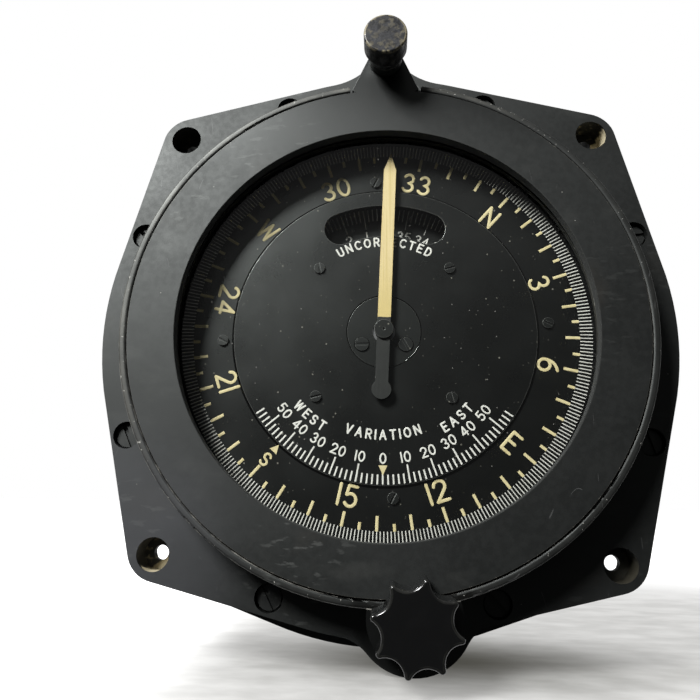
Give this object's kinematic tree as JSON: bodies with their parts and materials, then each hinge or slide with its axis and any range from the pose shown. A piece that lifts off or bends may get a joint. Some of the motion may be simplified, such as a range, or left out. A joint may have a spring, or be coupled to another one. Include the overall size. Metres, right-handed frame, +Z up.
{
  "type": "aircraft compass",
  "caption": "Panel-mounted remote-reading aircraft compass with a knob-set compass card, long pointer, heading window and dial lamp in an eared round case.",
  "frame": {"origin": "centre of the four seats of the panel bolts, on the front face of the mounting flange", "axes": "+X to the right of the dial, +Y from the dial into the panel along the dial axis, +Z up the dial"},
  "size_m": [0.1758, 0.145, 0.1833],
  "materials": {
    "black_enamel": "satin black instrument enamel, worn",
    "dial_black": "matt black dial paint",
    "pointer_cream": "aged cream paint",
    "clear_glass": "clear polished",
    "bulb_glass": "clear",
    "brass": "machined",
    "alloy": "machined",
    "steel": "turned",
    "gasket_rubber": "matt",
    "knob_black": "polished black moulding",
    "insert_brown": "moulded phenolic",
    "motor_grey": "grey enamel"
  },
  "bodies": {
    "case": {"bezel_casting": "black_enamel", "bezel_plate": "black_enamel", "flange_screws": "black_enamel", "case_flange": "black_enamel", "rear_case": "black_enamel", "rear_cover": "black_enamel", "lamp_holder": "black_enamel", "glass_retaining_ring": "dial_black", "centre_dial": "dial_black", "hub_plate": "dial_black", "hub_plate_screws": "dial_black", "centre_dial_screws": "dial_black", "cover_glass": "clear_glass", "lamp_bulb": "bulb_glass", "receptacle_pins": "brass", "frame_pillars": "brass", "card_bearing_ring": "brass", "knob_bushing": "brass", "bulb_base": "brass", "receptacle_shell": "alloy", "front_frame_plate": "alloy", "middle_frame_plate": "alloy", "rear_frame_plate": "alloy", "dial_spider": "alloy", "bezel_screws": "steel", "rear_cover_screws": "steel", "receptacle_screws": "steel", "frame_plate_screws": "steel", "pillar_screws": "steel", "bearing_ring_screws": "steel", "dial_support_tube": "steel", "glass_gasket": "gasket_rubber", "flange_gasket": "gasket_rubber", "receptacle_insert": "insert_brown", "drive_motor": "motor_grey", "heading_transmitter": "motor_grey"},
    "variation_card": {"variation_card": "dial_black", "card_screws": "dial_black", "card_gear_ring": "brass"},
    "variation_knob": {"variation_knob": "knob_black", "knob_set_screw": "steel", "knob_shaft": "steel", "knob_pinion": "brass", "knob_clip": "steel"},
    "heading_card": {"uncorrected_card": "dial_black", "card_sleeve": "brass", "main_gear": "brass"},
    "pointer": {"pointer_blade": "pointer_cream", "pointer_hub": "dial_black", "pointer_shaft": "steel", "pointer_gear": "brass"},
    "layshaft": {"layshaft": "steel", "layshaft_pinions": "brass"},
    "motor_rotor": {"motor_shaft": "steel", "motor_pinion": "brass"},
    "lamp_cap": {"lamp_cap": "black_enamel", "lamp_contact": "brass"}
  },
  "joints": [
    {"name": "variation_card_turn", "type": "hinge", "parent": "case", "child": "variation_card", "pos_m": [0, 0, 0], "axis": [0, -1, 0], "range_deg": [-14.4, 97.6]},
    {"name": "knob_turn", "type": "hinge", "parent": "case", "child": "variation_knob", "pos_m": [0.00832, 0, -0.07655], "axis": [0, -1, 0], "range_deg": [-655, 97]},
    {"name": "heading_card_turn", "type": "hinge", "parent": "case", "child": "heading_card", "pos_m": [0, 0, 0], "axis": [0, -1, 0], "continuous": true},
    {"name": "pointer_turn", "type": "hinge", "parent": "case", "child": "pointer", "pos_m": [0, 0, 0], "axis": [0, -1, 0], "continuous": true},
    {"name": "layshaft_turn", "type": "hinge", "parent": "case", "child": "layshaft", "pos_m": [0.03741, 0, 0.0216], "axis": [0, -1, 0], "continuous": true},
    {"name": "motor_turn", "type": "hinge", "parent": "case", "child": "motor_rotor", "pos_m": [0, 0, -0.0432], "axis": [0, -1, 0], "continuous": true},
    {"name": "lamp_cap_pull", "type": "slide", "parent": "case", "child": "lamp_cap", "axis": [0, -1, 0], "range_m": [0, 0.015]}
  ],
  "couplings": [
    {"joint": "knob_turn", "follows": "variation_card_turn", "ratio": -6.7},
    {"joint": "pointer_turn", "follows": "heading_card_turn", "ratio": 1},
    {"joint": "layshaft_turn", "follows": "heading_card_turn", "ratio": -5},
    {"joint": "motor_turn", "follows": "heading_card_turn", "ratio": -5}
  ]
}
